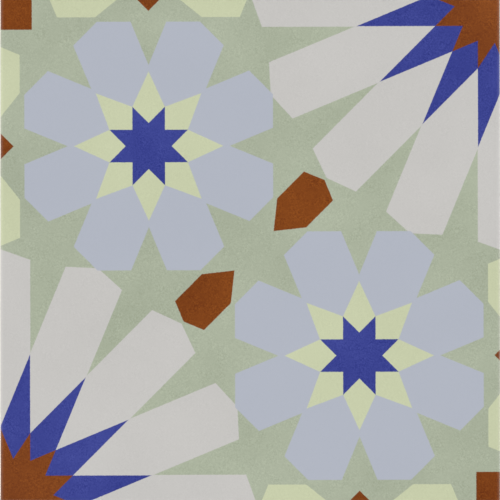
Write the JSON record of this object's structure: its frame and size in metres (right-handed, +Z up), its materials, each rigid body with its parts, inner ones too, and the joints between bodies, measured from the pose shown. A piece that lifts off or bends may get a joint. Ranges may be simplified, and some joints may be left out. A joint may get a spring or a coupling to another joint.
{
  "type": "porcelain tile",
  "caption": "Square dry-pressed porcelain tile with a flat printed and glazed face, a rounded arris, drafted walls and a keyed back for adhesive.",
  "frame": {"origin": "centre of the back, on the plane of the rib tops that the tile lies on", "axes": "+Z up through the glazed face; +X and +Y along the tile's sides, with +Y towards the top of the pattern"},
  "size_m": [0.2, 0.2, 0.009],
  "materials": {
    "glazed_porcelain": "satin glaze over a printed pattern, bare fired body on the walls and back"
  },
  "bodies": {
    "root": {"tile": "glazed_porcelain"}
  },
  "joints": []
}
